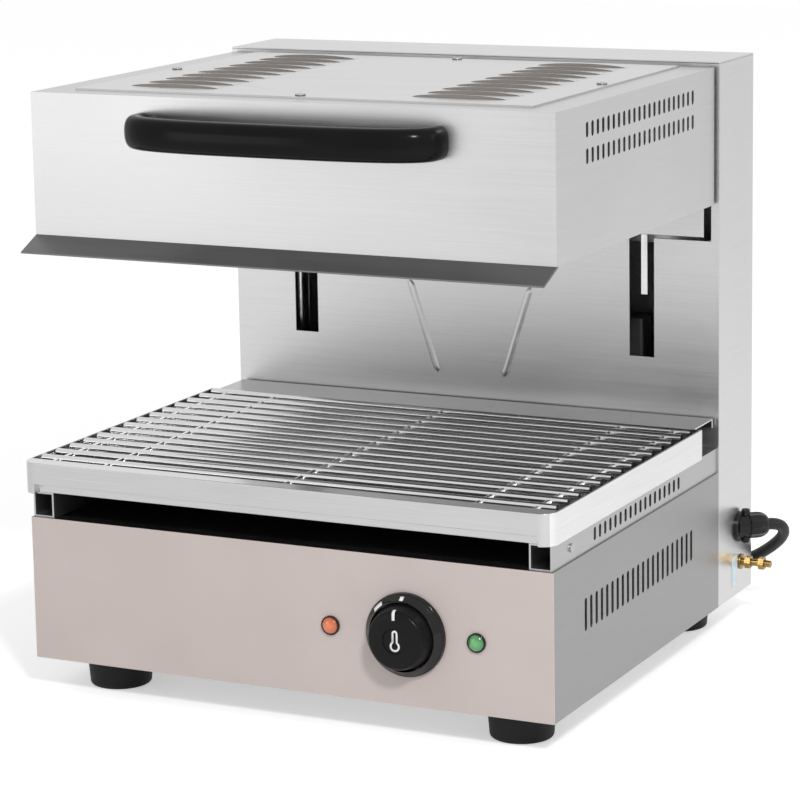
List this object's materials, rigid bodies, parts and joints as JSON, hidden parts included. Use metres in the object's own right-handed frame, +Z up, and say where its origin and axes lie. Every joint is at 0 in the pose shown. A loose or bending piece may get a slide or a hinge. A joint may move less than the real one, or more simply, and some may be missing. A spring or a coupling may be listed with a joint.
{
  "type": "cheese melter",
  "caption": "Counter-top electric grill whose heated hood slides up and down on a rear column above a tray with a wire grid, with a front handle, a control knob and pilot lamps.",
  "frame": {"origin": "middle of the footprint at floor level, measured without the mains lead, its coil and plug", "axes": "+X to the right seen from the front, +Y to the back, +Z up; the grill's front faces -Y"},
  "size_m": [0.4871, 0.6168, 0.4841],
  "materials": {
    "brushed_steel": "brushed stainless steel",
    "taupe_paint": "satin taupe paint",
    "black_steel": "matt black steel",
    "polished_steel": "bright stainless steel",
    "grid_wire": "bright plated wire",
    "screw_steel": "stainless steel",
    "zinc_steel": "zinc-plated steel",
    "dark_steel": "dark grey steel",
    "cast_iron": "painted iron",
    "bronze": "sintered bronze",
    "brass": "bright brass",
    "cable_wire": "wire rope",
    "element_sheath": "oxidised sheath",
    "insulation_fibre": "ceramic fibre board",
    "black_plastic": "satin black plastic",
    "gloss_black": "gloss black plastic",
    "white_plastic": "off-white plastic",
    "orange_lens": "translucent orange",
    "green_lens": "translucent green",
    "pale_label": "pale blue film",
    "black_rubber": "black rubber",
    "cord_rubber": "black rubber sheath",
    "plug_rubber": "black moulded rubber"
  },
  "bodies": {
    "base": {"base_tub": "brushed_steel", "front_panel": "taupe_paint", "base_deck": "black_steel", "rail_left": "brushed_steel", "rail_right": "brushed_steel", "rail_screws": "screw_steel", "feet": "black_rubber", "foot_screws": "screw_steel", "regulator_body": "black_plastic", "dial_ring": "black_plastic", "orange_lens": "orange_lens", "green_lens": "green_lens", "lamp_bodies": "black_plastic", "terminal_block": "white_plastic", "column_shell": "brushed_steel", "column_front": "brushed_steel", "column_cap": "brushed_steel", "back_panel": "brushed_steel", "back_screws": "screw_steel", "cross_bars": "zinc_steel", "guide_rods": "polished_steel", "pulley_brackets": "zinc_steel", "pulley_axles": "screw_steel", "cable_wraps": "cable_wire", "earth_stud": "brass", "earth_nuts": "brass", "blank_plate": "pale_label", "cable_gland": "black_plastic", "mains_lead": "cord_rubber", "cord_coil": "cord_rubber", "mains_plug": "plug_rubber"},
    "head": {"head_casing": "brushed_steel", "head_cover": "brushed_steel", "cover_screws": "screw_steel", "head_lip": "dark_steel", "head_back_plate": "brushed_steel", "reflector": "polished_steel", "insulation": "insulation_fibre", "heating_elements": "element_sheath", "element_supports": "zinc_steel", "handle": "gloss_black", "handle_screws": "screw_steel", "lift_arms": "polished_steel", "carriage": "zinc_steel", "bushings": "bronze", "front_cables": "cable_wire"},
    "weight": {"counterweight": "cast_iron", "rear_cables": "cable_wire"},
    "left_pulley": {"pulley_left": "white_plastic"},
    "right_pulley": {"pulley_right": "white_plastic"},
    "knob": {"knob": "black_plastic", "control_shaft": "screw_steel"},
    "tray": {"grill_tray": "polished_steel"},
    "grid": {"grill_grid": "grid_wire"}
  },
  "joints": [
    {"name": "head_lift", "type": "slide", "parent": "base", "child": "head", "axis": [0, 0, 1], "range_m": [-0.13, 0], "deforming": ["front_cables"]},
    {"name": "weight_slide", "type": "slide", "parent": "base", "child": "weight", "axis": [0, 0, 1], "range_m": [0, 0.131], "deforming": ["rear_cables"]},
    {"name": "left_pulley_spin", "type": "hinge", "parent": "base", "child": "left_pulley", "pos_m": [-0.1215, 0.187, 0.44], "axis": [1, 0, 0], "range_deg": [-1, 591.5]},
    {"name": "right_pulley_spin", "type": "hinge", "parent": "base", "child": "right_pulley", "pos_m": [0.0985, 0.187, 0.44], "axis": [1, 0, 0], "range_deg": [-1, 591.5]},
    {"name": "knob_turn", "type": "hinge", "parent": "base", "child": "knob", "pos_m": [0.0935, -0.201, 0.0845], "axis": [0, 1, 0], "range_deg": [0, 270]},
    {"name": "tray_slide", "type": "slide", "parent": "base", "child": "tray", "axis": [0, -1, 0], "range_m": [0, 0.25]},
    {"name": "grid_lift", "type": "slide", "parent": "tray", "child": "grid", "axis": [0, 0, 1], "range_m": [0, 0.03]}
  ],
  "couplings": [
    {"joint": "weight_slide", "follows": "head_lift", "ratio": -1},
    {"joint": "left_pulley_spin", "follows": "head_lift", "rad_per_m": -78.74},
    {"joint": "right_pulley_spin", "follows": "head_lift", "rad_per_m": -78.74}
  ]
}
